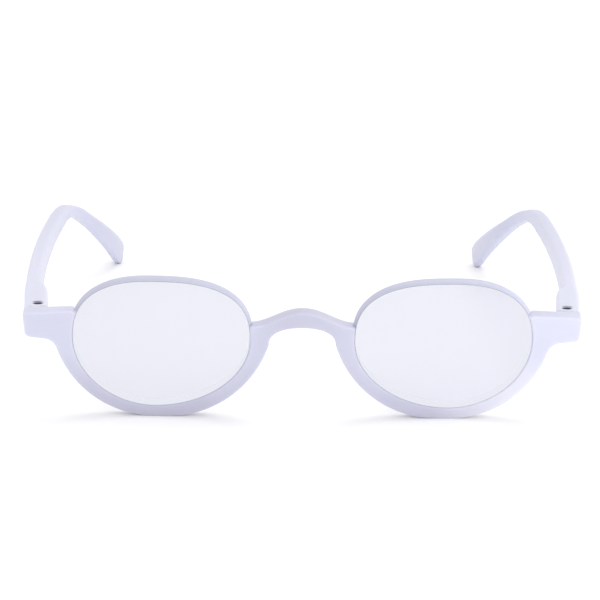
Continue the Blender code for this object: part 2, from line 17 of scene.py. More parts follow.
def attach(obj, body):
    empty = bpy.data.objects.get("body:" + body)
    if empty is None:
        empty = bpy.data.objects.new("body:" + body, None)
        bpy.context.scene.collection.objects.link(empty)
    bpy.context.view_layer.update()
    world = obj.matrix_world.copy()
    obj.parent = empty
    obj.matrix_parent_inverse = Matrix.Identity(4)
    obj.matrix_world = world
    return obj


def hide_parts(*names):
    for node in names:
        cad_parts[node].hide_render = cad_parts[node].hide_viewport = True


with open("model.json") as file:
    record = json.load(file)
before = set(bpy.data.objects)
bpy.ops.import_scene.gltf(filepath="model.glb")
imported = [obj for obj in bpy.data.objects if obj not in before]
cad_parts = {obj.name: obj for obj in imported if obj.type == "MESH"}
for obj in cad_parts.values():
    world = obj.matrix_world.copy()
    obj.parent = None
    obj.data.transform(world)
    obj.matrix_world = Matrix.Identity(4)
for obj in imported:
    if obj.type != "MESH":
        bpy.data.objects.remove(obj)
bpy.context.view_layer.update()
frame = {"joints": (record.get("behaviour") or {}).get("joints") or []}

bl_info = {
    "name": "Reading Glasses",
    "version": (1, 0, 0),
    "blender": (4, 5, 0),
    "location": "View3D > Sidebar > Glasses",
    "description": "Models reading glasses with lower rims and folding temples",
    "category": "Add Mesh",
}

MM = 0.001
SIDES = (1, -1)
HINGE_POINTS = {joint["name"]: Vector(joint["pos_m"]) for joint in frame["joints"]}

# Clearances between the pieces
SEAT_CLEARANCE = 0.2 * MM
RUNNING_CLEARANCE = 0.3 * MM
SCREW_CLEARANCE = 0.1 * MM

# How full the corners of the ovals are; 2 is an ellipse
LENS_TOP_NOSE_FULLNESS = 2.65
LENS_TOP_OUTER_FULLNESS = 2.45
LENS_BOTTOM_FULLNESS = 1.95
RIM_NOSE_FULLNESS = 2.08
RIM_OUTER_FULLNESS = 2.18
ARCH_FULLNESS = 2.3
BLOCK_SQUARENESS = 6.5
TEMPLE_FULLNESS = 3.3
HUMP_SHARPNESS = 1.06

# Small sizes of the front's outline; the first five are taken from the lens centre
RIM_CENTRE_TO_NOSE = 1.6 * MM
RIM_CENTRE_UP = 9.15 * MM
ARCH_SPRING = -1.0 * MM
WING_TIP_UP = 3.7 * MM
END_PIECE_TOP = 6.2 * MM
END_TOP_RISE = 0.78 * MM
END_UNDERSIDE_FALL = 0.75 * MM
END_SIDE_LEAN = 0.45 * MM
END_TOP_CORNER = 0.6 * MM
END_BOTTOM_CORNER = 1.3 * MM
END_FILLET = 3.4 * MM
NOTCH_LENGTH = 0.95 * MM
NOTCH_DROP = 0.55 * MM
NOTCH_UP = END_PIECE_TOP + END_TOP_RISE - NOTCH_DROP

# Edges of the front and the lenses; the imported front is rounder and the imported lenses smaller
MOULDED_EDGE = 0.3 * MM
LENS_EDGE_INSET = 0.05 * MM
LENS_SNUG = 0.14 * MM
LENS_EDGE_CHAMFER = 0.15 * MM

# Small sizes of the hinge
PAD_PROUD = 0.3 * MM
PAD_BELOW_TOP = 0.1 * MM
PAD_INSET = 0.25 * MM
AXIS_FROM_BLOCK_FACES = 2.6 * MM
TOP_TAB = 2.0 * MM
BOTTOM_TAB = 1.7 * MM
HEAD_SUNK = 0.25 * MM
HEAD_HEIGHT = 0.5 * MM
HEAD_ROUND = 0.12 * MM
HEAD_ROUND_MIDDLE = 0.3 * HEAD_ROUND
DRIVE_SLOT_WIDTH = 0.3 * MM
DRIVE_SLOT_DEPTH = 0.25 * MM
SCREW_CHAMFER = 0.2 * MM
BORE_CHAMFER = 0.15 * MM
SCREW_END_INSET = 0.3 * MM
BLOCK_EDGE = 0.12 * MM

# Turns of the temple in plan and its slopes
SPLAY_AT_HINGE = math.radians(-5.0)
BOW_BEFORE_BEND = math.radians(5.7)
BOW_AFTER_BEND = math.radians(21.9)
BOW_AT_END = math.radians(8.1)
SLOPE_AT_HINGE = math.radians(3.05)
SLOPE_BEFORE_BEND = math.radians(-0.2)
SLOPE_OF_TIP = math.radians(-31.5)
TIP_END_ROUND = 1.6 * MM
TIP_WIDEST_FROM_END = 5.0 * MM

# Depth of the small flats that the rims and tips rest on
REST_FLAT = 0.15 * MM

# Steps of the curves
OUTLINE_STEPS = 14
OVAL_STEPS = 5 * OUTLINE_STEPS
LENS_STATIONS = 144
LENS_FACE_SHARES = (0.96, 0.9, 0.82, 0.72, 0.6, 0.47, 0.34, 0.2, 0.06)
SECTION_POINTS = 48
TEMPLE_STEPS = (12, 20, 24, 16)
TIP_END_TURNS = (12, 24, 36, 48, 60, 72, 82)
ROUND_SIDES = 64
WALK_STEP = 1.0 * MM
TANGENT_STEP = 0.01

# How the pieces are worked
CUT_MARGIN = 2.0 * MM
PAST_GLASSES = 0.3
FACE_BAND = 0.08 * MM
FACE_SLOPE = 0.9
QUAD_SIDES = 4
WIDE_FACE_SIDES = 40
MATCH_DIGITS = 7
SMOOTH_ANGLE = math.radians(32.0)

# Patterns of the materials: the size of the noise in metres and its detail
MILKY_CLOUDS = (9.0 * MM, 3.0)
SKIN = (1.2 * MM, 4.0)
WAVES = (6.0 * MM, 1.0)
GRAIN = (0.25 * MM, 2.0)
SMEARS = (4.0 * MM, 3.0)
EDGE_CLOUDS = (2.5 * MM, 3.0)
GRINDING = (0.15 * MM, 3.0)
WEAR = (0.35 * MM, 4.0)
SCRATCHES = (0.06 * MM, 2.0)
FLOOR_CLOUDS = (0.4, 2.0)

# Bumps of the materials: depth and strength
WAVE_BUMP = (0.1 * MM, 0.12)
GRAIN_BUMP = (0.01 * MM, 0.25)
GRINDING_BUMP = (0.01 * MM, 0.3)
SCRATCH_BUMP = (0.005 * MM, 0.3)

# What the patterns change: colours by a share, and roughness between two values
CLOUD_CHANGE = 0.12
SKIN_CHANGE = 0.05
SMEAR_TINT, LENS_ROUGHNESS = 0.94, (0.02, 0.08)
EDGE_TINT, EDGE_ROUGHNESS = 1.08, (0.3, 0.5)
WEAR_TINT, STEEL_ROUGHNESS = 0.45, (0.22, 0.42)
FLOOR_TINT = 0.99
LENS_IOR = 1.6

# Where the plastic's painted shade and painted light change, from and to: shade by height, light to
# the left, shade off the middle, shade to the back
RIM_PAINTED_SHADE = (17.0 * MM, -1.0 * MM)
PAINTED_SIDE_LIGHT = (32.0 * MM, 58.0 * MM)
BRIDGE_SHADE_FADES = (5.0 * MM, 18.0 * MM)
BRIDGE_PAINTED_SHADE = 0.6
TIP_PAINTED_SHADE = (-40.0 * MM, 50.0 * MM)

# Layout of the nodes
NODES_START = (-1400, 600)
NODE_SPACE = (240, 280)
NODE_ROWS = 5

# Sizes and places of the soft boxes in metres
KEY_BOX = (1.4, (0.3, -1.6, 0.8))
SIDE_BOX = (0.1, (0.22, -0.2, 0.03))


def number(name, description, value, **limits):
    return FloatProperty(name=name, description=description, default=value, **limits)


def length(name, description, millimetres):
    return number(name, description, millimetres * MM, unit="LENGTH", precision=5)


def angle(name, description, degrees):
    return number(name, description, math.radians(degrees), unit="ROTATION")


def share(name, description, value):
    return number(name, description, value, min=0.0, max=1.0, subtype="FACTOR")


def strength(name, description, value):
    return number(name, description, value, min=0.0)


def colour(name, description, value):
    return FloatVectorProperty(
        name=name, description=description, default=value, min=0.0, max=1.0, subtype="COLOR"
    )


class GlassesSizes(PropertyGroup):
    """Sizes of the pieces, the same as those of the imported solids."""

    lens_reach_nose: length("Lens to nose", "Lens centre to its nose edge", 23.44)
    lens_reach_outer: length("Lens to side", "Lens centre to its outer edge", 19.8)
    lens_reach_top: length("Lens to top", "Lens centre to its top edge", 15.55)
    lens_reach_bottom: length("Lens to bottom", "Lens centre to its bottom edge", 18.0)
    lens_front_dome: length("Lens dome", "How far the lens's front stands out", 1.3)
    lens_back_hollow: length("Lens hollow", "How deep the lens's back is", 0.9)
    lens_ridge: length("Lens ridge", "Height of the ridge round the edge", 0.7)
    front_thickness: length("Front thickness", "Thickness of the front", 3.6)
    front_lean: angle("Front lean", "Lean of the front's top towards -Y", 9.0)
    front_bow_radius: length("Front bow radius", "Radius of the bow seen from above", 1500.0)
    front_edge_round: length("Front edge round", "Rounding of the packed edges", 0.5)
    nose_gap: length("Nose gap", "Distance between the rims at the nose", 13.5)
    rim_width_nose: length("Rim width, nose", "Width beside the nose", 5.9)
    rim_width_outer: length("Rim width, side", "Width at the outer side", 5.6)
    rim_width_bottom: length("Rim width, bottom", "Width under the lens", 3.05)
    arch_top: length("Bridge arch", "Height of the arch over the nose", 3.55)
    bridge_height: length("Bridge height", "Thickness of the bridge above the arch", 4.0)
    end_piece_length: length("End piece length", "Lens seat to the front's end", 11.95)
    end_piece_height: length("End piece height", "Height of the end piece", 6.25)
    knuckle_radius: length("Knuckle radius", "Radius of the hinge knuckle", 1.8)
    block_width: length("Hinge block width", "Width of the hinge block", 5.8)
    block_height: length("Hinge block height", "Height of the hinge block", 6.1)
    block_length: length("Hinge block length", "Length of the hinge block", 12.5)
    block_taper: length("Hinge block taper", "Length over which the block thins", 7.5)
    screw_radius: length("Screw radius", "Radius of the shank", 0.7)
    head_radius: length("Screw head radius", "Radius of the head", 1.05)
    straight_length: length("Temple straight", "From the hinge to the bend", 82.7)
    bend_length: length("Temple bend", "Length of the bend over the ear", 31.3)
    tip_length: length("Temple tip", "From the bend to the end", 32.3)
    temple_height_front: length("Temple height, front", "Height behind the hinge", 6.0)
    temple_height_back: length("Temple height, back", "Height before the bend", 5.15)
    bend_height: length("Temple height, bend", "Height in the middle of the bend", 3.2)
    bend_end_height: length("Temple height, bend end", "Height at the end of the bend", 3.75)
    tip_height: length("Tip height", "Height of the tip at its widest", 6.9)
    tip_end_height: length("Tip height, end", "Height of the tip at its end", 6.5)
    temple_thickness_front: length("Temple thickness, front", "Thickness at the hinge", 4.55)
    temple_thickness_back: length("Temple thickness, back", "Thickness before the bend", 3.75)
    tip_thickness: length("Tip thickness", "Thickness of the tip", 2.65)


class GlassesFinish(PropertyGroup):
    """Colours and finishes of the materials, with painted light and shade on the plastic and the
    lens edge.
    """

    front: colour("Front", "Milky plastic at the top of the front", (0.615, 0.62, 0.74))
    # painted shade: the front drawn darker towards the rim bottoms and over the nose
    front_painted_shade: colour("Front, low", "Plastic at the bottom of the rims", (0.47, 0.462, 0.565))
    # painted light: the lower part of the left rim drawn lighter
    front_painted_light: colour("Front, light", "Thin plastic at the left rim", (0.89, 0.89, 0.935))
    temple: colour("Temple", "Milky plastic along the temples", (0.665, 0.67, 0.79))
    # painted shade: the temples drawn darker towards the ear tips
    temple_painted_shade: colour("Temple, tip", "Milky plastic at the ear tips", (0.565, 0.57, 0.705))
    plastic_roughness: share("Plastic roughness", "Mean roughness of the plastic", 0.33)
    lens: colour("Lens", "Faint tint of the lens", (0.2, 0.22, 0.45))
    lens_veil: share("Lens veil", "How much it veils what is behind", 0.16)
    lens_edge: colour("Lens edge", "Colour of the bare ground lens edge", (0.51, 0.52, 0.63))
    # painted shade: dark lines drawn on the bare edge's corners
    lens_corner_painted_shade: colour("Lens corner", "Colour of the bare edge's two corners", (0.36, 0.36, 0.45))
    # the edge in the rim: nearly black, lit only by a painted glow, though it is no lamp
    lens_seat: colour("Lens seat", "Colour of the lens edge in its rim", (0.02, 0.02, 0.03))
    seat_painted_glow: share("Seat glow", "Light gathered at the seated edge", 0.94)
    steel: colour("Steel", "Colour of the screws", (0.06, 0.06, 0.09))


class GlassesStage(PropertyGroup):
    """The floor, the lights and the camera."""

    floor: colour("Floor", "Colour of the floor", (0.95, 0.95, 0.95))
    floor_glow: strength("Floor glow", "Light that the floor gives off", 0.04)
    sky_strength: strength("Sky", "Strength of the light all round", 0.93)
    sun_strength: strength("Overhead light", "Strength of the soft light from above", 0.55)
    key_power: strength("Key box", "Power of the large soft box in front", 4.0)
    side_power: strength("Side box", "Power of the small soft box at the right", 0.16)
    camera_turn: angle("Camera turn", "Turn of the view from straight ahead", 0.607)
    camera_rise: angle("Camera rise", "Height of the view above level", 16.576)
    camera_roll: angle("Camera roll", "Roll of the picture", 0.73)
    camera_distance: length("Camera distance", "From the camera to its target", 771.7)
    camera_target: FloatVectorProperty(
        name="Camera target", description="Point that it looks at",
        default=(0.0, -67.827 * MM, 30.49 * MM), subtype="TRANSLATION",
    )
    camera_left: length("Camera left", "How far it is then moved left", 0.688)
    camera_down: length("Camera down", "How far it is then moved down", 0.138)
    camera_lens: number("Camera lens", "Focal length of the camera", 189.67, unit="CAMERA")


def signed_power(value, power):
    return math.copysign(abs(value) ** power, value)


def oval_point(centre, reach, fullness, turn):
    """A point of an oval whose corners are as full as fullness says."""
    return (
        centre[0] + reach[0] * signed_power(math.cos(turn), 2 / fullness),
        centre[1] + reach[1] * signed_power(math.sin(turn), 2 / fullness),
    )


def oval_angle(rise, reach, fullness):
    """The angle at which an oval has risen this far above its centre."""
    return math.asin((rise / reach) ** (fullness / 2))


def spread(first, last, steps):
    """Evenly spaced values from first to last."""
    return [first + (last - first) * i / steps for i in range(steps + 1)]


def ease(value):
    """A smooth 0 to 1 turn."""
    value = min(max(value, 0.0), 1.0)
    return value * value * (3 - 2 * value)


def read_between(place, stops):
    """A value read between (place, value) stops, joined by straight lines."""
    for (first, low), (second, high) in zip(stops, stops[1:]):
        if place <= second:
            return low + (high - low) * max(place - first, 0.0) / (second - first)
    return stops[-1][1]


def all_round(steps):
    return spread(0.0, 2 * math.pi, steps)[:-1]


def arc(centre, radius, turns):
    return [(centre[0] + radius * math.cos(t), centre[1] + radius * math.sin(t)) for t in turns]


def circle(centre, radius):
    return arc(centre, radius, all_round(ROUND_SIDES))


def at_height(outline, z):
    return [Vector((x, y, z)) for x, y in outline]


def rounded_corner(before, corner, after, radius, steps=6):
    """Points of an arc that rounds a corner between two straight sides."""
    corner = Vector(corner)
    to_before = (Vector(before) - corner).normalized()
    to_after = (Vector(after) - corner).normalized()
    half = to_before.angle(to_after) / 2
    centre = corner + (to_before + to_after).normalized() * radius / math.sin(half)
    start = (corner + to_before * radius / math.tan(half) - centre).normalized()
    stop = (corner + to_after * radius / math.tan(half) - centre).normalized()
    return [tuple(centre + start.slerp(stop, s) * radius) for s in spread(0.0, 1.0, steps)]


class Plan:
    """Outlines and places of the glasses; u runs across, w up and depth back from the front."""

    def __init__(self, sizes):
        self.sizes = sizes
        self.lens_u = (
            sizes.nose_gap / 2 + sizes.rim_width_nose + SEAT_CLEARANCE + sizes.lens_reach_nose
        )
        self.lens_w = sizes.rim_width_bottom + SEAT_CLEARANCE + sizes.lens_reach_bottom
        self.rim_u = self.lens_u - RIM_CENTRE_TO_NOSE
        self.rim_w = self.lens_w + RIM_CENTRE_UP
        seat_end = self.lens_u + sizes.lens_reach_outer + SEAT_CLEARANCE
        self.rim_outer_u = seat_end + sizes.rim_width_outer
        self.half_width = seat_end + sizes.end_piece_length
        self.end_top_w = self.lens_w + END_PIECE_TOP
        self.end_bottom_w = self.end_top_w - sizes.end_piece_height
        self.groove_depth = sizes.lens_ridge + math.sqrt(2) * SEAT_CLEARANCE
        self.hinge_x = self.half_width - sizes.block_width + AXIS_FROM_BLOCK_FACES
        self.hinge_y = HINGE_POINTS["left_temple_fold"].y
        self.hinge = (self.hinge_x, self.hinge_y)
        self.face_y = 0.0
        self.drop = self.rim_drop()
        self.pad_y = self.hinge_y - AXIS_FROM_BLOCK_FACES - RUNNING_CLEARANCE
        behind_hinge = (self.hinge_x, self.end_bottom_w, sizes.front_thickness)
        self.face_y = self.pad_y - PAD_PROUD - self.front_point(*behind_hinge).y
        hinge_top = self.front_point(self.hinge_x, self.end_top_w, sizes.front_thickness)
        self.block_top = hinge_top.z - PAD_BELOW_TOP
        self.block_bottom = self.block_top - sizes.block_height
        self.knuckle_top = self.block_top - TOP_TAB - RUNNING_CLEARANCE
        self.knuckle_bottom = self.block_bottom + BOTTOM_TAB + RUNNING_CLEARANCE
        self.head_top = self.block_top - HEAD_SUNK
        self.temple_length = sizes.straight_length + sizes.bend_length + sizes.tip_length

    def rim_drop(self):
        """How far the front is lowered so that the floor plane cuts small flats on the rims."""
        lean = self.sizes.front_lean
        rounding = self.sizes.front_edge_round * (math.cos(lean) + math.sin(lean) - 1)
        return rounding + self.bow(self.rim_u) * math.sin(lean) + REST_FLAT

    def bow(self, u):
        return u * u / (2 * self.sizes.front_bow_radius)

    def front_point(self, u, w, depth):
        """The place of a point of the bowed and leaning front."""
        lean = self.sizes.front_lean
        y = depth + self.bow(u)
        return Vector((
            u,
            y * math.cos(lean) - w * math.sin(lean) + self.face_y,
            w * math.cos(lean) + y * math.sin(lean) - self.drop,
        ))

    def lens_point(self, turn):
        """A point of the +X lens's edge; turn 0 is outermost, a quarter turn is the top."""
        sizes = self.sizes
        outer = math.cos(turn) >= 0
        upper = math.sin(turn) >= 0
        reach_u = sizes.lens_reach_outer if outer else sizes.lens_reach_nose
        reach_w = sizes.lens_reach_top if upper else sizes.lens_reach_bottom
        fullness = LENS_TOP_OUTER_FULLNESS if outer else LENS_TOP_NOSE_FULLNESS
        if not upper:
            fullness = LENS_BOTTOM_FULLNESS
        return oval_point((self.lens_u, self.lens_w), (reach_u, reach_w), fullness, turn)

    def lens_offset_point(self, turn, distance):
        """The lens edge moved outwards, square to itself."""
        ahead, behind = self.lens_point(turn + TANGENT_STEP), self.lens_point(turn - TANGENT_STEP)
        along = (Vector(ahead) - Vector(behind)).normalized()
        here = self.lens_point(turn)
        return here[0] + along.y * distance, here[1] - along.x * distance

    def rim_point(self, turn):
        """A point of the rim's outer outline, below the level of its centre."""
        outer = math.cos(turn) >= 0
        reach_u = self.rim_outer_u - self.rim_u if outer else self.rim_u - self.sizes.nose_gap / 2
        fullness = RIM_OUTER_FULLNESS if outer else RIM_NOSE_FULLNESS
        return oval_point((self.rim_u, self.rim_w), (reach_u, self.rim_w), fullness, turn)

    def seat_outline(self):
        """The lens seat from the bridge's wing tip, round the bottom, to the end piece's notch."""
        top = self.sizes.lens_reach_top
        nose = oval_angle(WING_TIP_UP, top, LENS_TOP_NOSE_FULLNESS)
        outer = oval_angle(NOTCH_UP, top, LENS_TOP_OUTER_FULLNESS)
        turns = spread(math.pi - nose, 2 * math.pi + outer, OVAL_STEPS)
        return [self.lens_offset_point(turn, SEAT_CLEARANCE) for turn in turns]

    def bridge_top(self, u, wing_u):
        """Height of the bridge's hump, which falls from the middle to the wing tips."""
        crest = self.lens_w + self.sizes.arch_top + self.sizes.bridge_height
        fall = (1 - math.cos(math.pi * (u / wing_u) ** HUMP_SHARPNESS)) / 2
        return crest + (self.lens_w + WING_TIP_UP - crest) * fall

    def end_piece_outline(self, notch_u, below_rim_centre, under_fillet):
        """The end piece from its notch, round its two corners, to the fillet under it."""
        notch_top = (notch_u + NOTCH_LENGTH, self.end_top_w + END_TOP_RISE)
        top_corner = (self.half_width, self.end_top_w)
        bottom_corner = (self.half_width - END_SIDE_LEAN, self.end_bottom_w)
        corner_turn = -oval_angle(below_rim_centre, self.rim_w, RIM_OUTER_FULLNESS)
        fillet_corner = self.rim_point(corner_turn)
        points = [notch_top]
        points += rounded_corner(notch_top, top_corner, bottom_corner, END_TOP_CORNER)
        points += rounded_corner(top_corner, bottom_corner, fillet_corner, END_BOTTOM_CORNER)
        points += rounded_corner(bottom_corner, fillet_corner, under_fillet, END_FILLET)
        return points

    def front_outline(self):
        """The whole front's outline, clockwise from the top of the bridge."""
        seat = self.seat_outline()
        wing_u = seat[0][0]
        top = [(u, self.bridge_top(u, wing_u)) for u in spread(0.0, wing_u, OUTLINE_STEPS)][:-1]
        below = self.rim_w - self.end_bottom_w + END_UNDERSIDE_FALL
        fillet_turn = -oval_angle(below + END_FILLET, self.rim_w, RIM_OUTER_FULLNESS)
        end_piece = self.end_piece_outline(seat[-1][0], below, self.rim_point(fillet_turn))
        spring_w = self.lens_w + ARCH_SPRING
        spring_turn = oval_angle(self.rim_w - spring_w, self.rim_w, RIM_NOSE_FULLNESS) - math.pi
        rim = [self.rim_point(turn) for turn in spread(fillet_turn, spring_turn, OVAL_STEPS)]
        reach = (rim[-1][0], self.sizes.arch_top - ARCH_SPRING)
        turns = spread(0.0, math.pi / 2, OUTLINE_STEPS)[1:]
        arch = [oval_point((0.0, spring_w), reach, ARCH_FULLNESS, turn) for turn in turns]
        half = top + seat + end_piece + rim + arch
        return half + [(-u, w) for u, w in reversed(half[1:-1])]

    def knuckle_outline(self):
        """The front's hinge knuckle seen from above, round about the hinge axis."""
        radius = self.sizes.knuckle_radius
        start = self.pad_y - PAD_PROUD
        turns = spread(0.0, math.pi, ROUND_SIDES // 2)
        points = [(self.hinge_x + radius, start)]
        points += arc(self.hinge, radius, turns)
        return points + [(self.hinge_x - radius, start)]

    def fork_relief_outline(self):
        """What is cut off the fork's inner front corner, so that it turns about the hinge."""
        radius = AXIS_FROM_BLOCK_FACES
        far = radius + CUT_MARGIN
        turns = spread(-math.pi / 2, -math.pi, ROUND_SIDES // 4)
        points = [(0.0, -far)] + arc((0.0, 0.0), radius, turns) + [(-far, 0.0), (-far, -far)]
        return [(self.hinge_x + x, self.hinge_y + y) for x, y in points]

    def heading(self, place):
        """Direction of the +X temple at a distance along it."""
        sizes = self.sizes
        straight = min(place / sizes.straight_length, 1.0)
        bend = ease((place - sizes.straight_length) / sizes.bend_length)
        after = max((place - sizes.straight_length - sizes.bend_length) / sizes.tip_length, 0.0)
        turn = SPLAY_AT_HINGE + (BOW_BEFORE_BEND - SPLAY_AT_HINGE) * straight
        turn += (BOW_AFTER_BEND - BOW_BEFORE_BEND) * bend
        turn += (BOW_AT_END - BOW_AFTER_BEND) * after
        slope = SLOPE_AT_HINGE + (SLOPE_BEFORE_BEND - SLOPE_AT_HINGE) * straight
        slope += (SLOPE_OF_TIP - SLOPE_BEFORE_BEND) * bend
        return Vector((
            -math.sin(turn) * math.cos(slope),
            math.cos(turn) * math.cos(slope),
            math.sin(slope),
        ))

    def temple_centres(self, places):
        """Centres of the temple's sections, walked along its heading in short steps."""
        sizes = self.sizes
        point = Vector((
            self.half_width - sizes.temple_thickness_front / 2,
            self.pad_y + RUNNING_CLEARANCE,
            self.block_top - sizes.temple_height_front / 2,
        ))
        here = 0.0
        centres = []
        for place in places:
            count = math.ceil((place - here) / WALK_STEP)
            for i in range(count):
                step = (place - here) / (count - i)
                point = point + self.heading(here + step / 2) * step
                here += step
            centres.append(point.copy())
        return centres

    def temple_places(self):
        """Distances along the temple where it has a section."""
        sizes = self.sizes
        taper_end = sizes.block_length + sizes.block_taper
        bend_end = sizes.straight_length + sizes.bend_length
        tip_round = self.temple_length - TIP_END_ROUND
        ends = (sizes.block_length, taper_end, sizes.straight_length, bend_end, tip_round)
        places = [0.0, BLOCK_EDGE, sizes.block_length]
        for start, stop, steps in zip(ends, ends[1:], TEMPLE_STEPS):
            places += spread(start, stop, steps)[1:]
        for turn in TIP_END_TURNS:
            places.append(tip_round + TIP_END_ROUND * math.sin(math.radians(turn)))
        return places + [self.temple_length]

    def temple_section(self, place, centre):
        """One ring of the temple: a full oval that is nearly square and wider at the block."""
        sizes = self.sizes
        end = self.temple_length
        taper = min(max((place - sizes.block_length) / sizes.block_taper, 0.0), 1.0) ** 2
        bend = sizes.straight_length
        height = read_between(place, (
            (0.0, sizes.temple_height_front),
            (bend, sizes.temple_height_back),
            (bend + sizes.bend_length / 2, sizes.bend_height),
            (bend + sizes.bend_length, sizes.bend_end_height),
            (end - TIP_WIDEST_FROM_END, sizes.tip_height),
            (end, sizes.tip_end_height),
        ))
        thickness = read_between(place, (
            (0.0, sizes.temple_thickness_front),
            (bend, sizes.temple_thickness_back),
            (end, sizes.tip_thickness),
        ))
        over = max(place - (end - TIP_END_ROUND), 0.0) / TIP_END_ROUND
        shrink = TIP_END_ROUND * (1 - math.sqrt(max(1 - over * over, 0.0)))
        height -= 2 * shrink
        thickness -= 2 * shrink * sizes.tip_thickness / sizes.tip_height
        edge = max(BLOCK_EDGE - place, 0.0)
        width = sizes.block_width + (thickness - sizes.block_width) * taper
        inward = (width - thickness) / 2
        tall = sizes.block_height + (height - sizes.block_height) * taper
        lowered = (tall - height) / 2
        fullness = BLOCK_SQUARENESS + (TEMPLE_FULLNESS - BLOCK_SQUARENESS) * taper

        heading = self.heading(place)
        if place < sizes.block_length:
            straight_back = Vector((0.0, 1.0, 0.0))
            block_end = self.heading(sizes.block_length)
            heading = straight_back.lerp(block_end, place / sizes.block_length).normalized()
        side = Vector((heading.y, -heading.x, 0.0)).normalized()
        up = side.cross(heading)
        middle = centre - side * inward - up * lowered
        reach = (width / 2 - edge, tall / 2 - edge)
        ring = []
        for i in range(SECTION_POINTS):
            turn = 2 * math.pi * (i + 0.5) / SECTION_POINTS
            a, b = oval_point((0.0, 0.0), reach, fullness, turn)
            ring.append(middle + side * a + up * b)
        return ring

    def temple_rings(self):
        """All sections, tilted a little as a whole so that the tip's flat meets the floor."""
        places = self.temple_places()
        rings = [self.temple_section(p, c) for p, c in zip(places, self.temple_centres(places))]
        lowest = min(point.z for ring in rings for point in ring)
        block_end = self.sizes.block_length
        for place, ring in zip(places, rings):
            tilt = max(place - block_end, 0.0) / (self.temple_length - block_end)
            for point in ring:
                point.z -= (lowest + REST_FLAT) * tilt
        return rings

    def flat_lens_rings(self):
        """Rings of the flat lens from the middle of its front, over its edge, to its back."""
        turns = all_round(LENS_STATIONS)
        near = LENS_EDGE_INSET
        far = self.sizes.front_thickness - LENS_EDGE_INSET
        middle = self.sizes.front_thickness / 2
        ridge = self.sizes.lens_ridge

        def edge(distance, depth):
            distance += LENS_SNUG
            return at_height([self.lens_offset_point(turn, distance) for turn in turns], depth)

        def face(part, edge_depth, rise):
            centre = Vector((self.lens_u, self.lens_w))
            points = [centre.lerp(Vector(self.lens_point(turn)), part) for turn in turns]
            return at_height(points, edge_depth - rise * (1 - part * part))

        dome, hollow = self.sizes.lens_front_dome, self.sizes.lens_back_hollow
        rings = [face(part, near, dome) for part in reversed(LENS_FACE_SHARES)]
        rings.append(edge(-LENS_EDGE_CHAMFER, near))
        rings.append(edge(0.0, near + LENS_EDGE_CHAMFER))
        rings.append(edge(0.0, middle - ridge))
        rings.append(edge(ridge - LENS_EDGE_CHAMFER, middle - LENS_EDGE_CHAMFER))
        rings.append(edge(ridge - LENS_EDGE_CHAMFER, middle + LENS_EDGE_CHAMFER))
        rings.append(edge(0.0, middle + ridge))
        rings.append(edge(0.0, far - LENS_EDGE_CHAMFER))
        rings.append(edge(-LENS_EDGE_CHAMFER, far))
        return rings + [face(part, far, hollow) for part in LENS_FACE_SHARES]


def set_mode(mode):
    bpy.ops.object.mode_set(mode=mode)


def select_only(piece):
    bpy.ops.object.select_all(action="DESELECT")
    piece.select_set(True)
    bpy.context.view_layer.objects.active = piece


def turn_faces_outwards():
    bpy.ops.mesh.select_all(action="SELECT")
    bpy.ops.mesh.normals_make_consistent(inside=False)
    set_mode("OBJECT")


def rounded(point):
    return tuple(round(value, MATCH_DIGITS) for value in point)


def lay_ring(verts, ring):
    """Moves the corners to the ring's points and returns their new places."""
    for vert, point in zip(verts, ring):
        vert.co = point
    return [vert.co.copy() for vert in verts]


def loft(name, rings):
    """A closed piece: a filled circle on the first ring, extruded to each further ring."""
    bpy.ops.mesh.primitive_circle_add(vertices=len(rings[0]), fill_type="NGON")
    piece = bpy.context.object
    piece.name = piece.data.name = name
    last_ring = lay_ring(piece.data.vertices, rings[0])
    set_mode("EDIT")
    bpy.ops.mesh.select_mode(type="FACE")
    bpy.ops.mesh.select_all(action="SELECT")
    for ring in rings[1:]:
        bpy.ops.mesh.extrude_region_move()
        mesh = bmesh.from_edit_mesh(piece.data)
        order = {rounded(point): i for i, point in enumerate(last_ring)}
        new = [vert for vert in mesh.verts if vert.select]
        new.sort(key=lambda vert: order[rounded(vert.co)])
        last_ring = lay_ring(new, ring)
        bmesh.update_edit_mesh(piece.data)
    turn_faces_outwards()
    return piece


def prism(name, outline, heights):
    """A closed piece with the same outline at both heights."""
    return loft(name, [at_height(outline, z) for z in heights])


def turned(name, centre, profile):
    """A piece turned about an upright axis, from its steps of radius and height."""
    return loft(name, [at_height(circle(centre, radius), z) for radius, z in profile])


def add_box(name, x_range, y_range, z_range):
    ranges = (sorted(x_range), sorted(y_range), sorted(z_range))
    bpy.ops.mesh.primitive_cube_add(
        size=1.0,
        location=[(low + high) / 2 for low, high in ranges],
        scale=[high - low for low, high in ranges],
    )
    piece = bpy.context.object
    piece.name = name
    bpy.ops.object.transform_apply(location=True, rotation=False, scale=True)
    return piece


def boolean(piece, tool, operation="DIFFERENCE"):
    """Cuts a helper out of the piece or joins it on, and removes the helper."""
    select_only(piece)
    modifier = piece.modifiers.new(tool.name, "BOOLEAN")
    modifier.operation = operation
    modifier.solver = "EXACT"
    modifier.object = tool
    bpy.ops.object.modifier_apply(modifier=modifier.name)
    bpy.data.objects.remove(tool)


def mirrored_copy(piece, name):
    """A copy on the other side, with its own mesh and its faces turned outwards."""
    copy = piece.copy()
    copy.data = piece.data.copy()
    copy.name = copy.data.name = name
    bpy.context.collection.objects.link(copy)
    select_only(copy)
    copy.scale.x = -1.0
    bpy.ops.object.transform_apply(location=False, rotation=False, scale=True)
    set_mode("EDIT")
    turn_faces_outwards()
    return copy


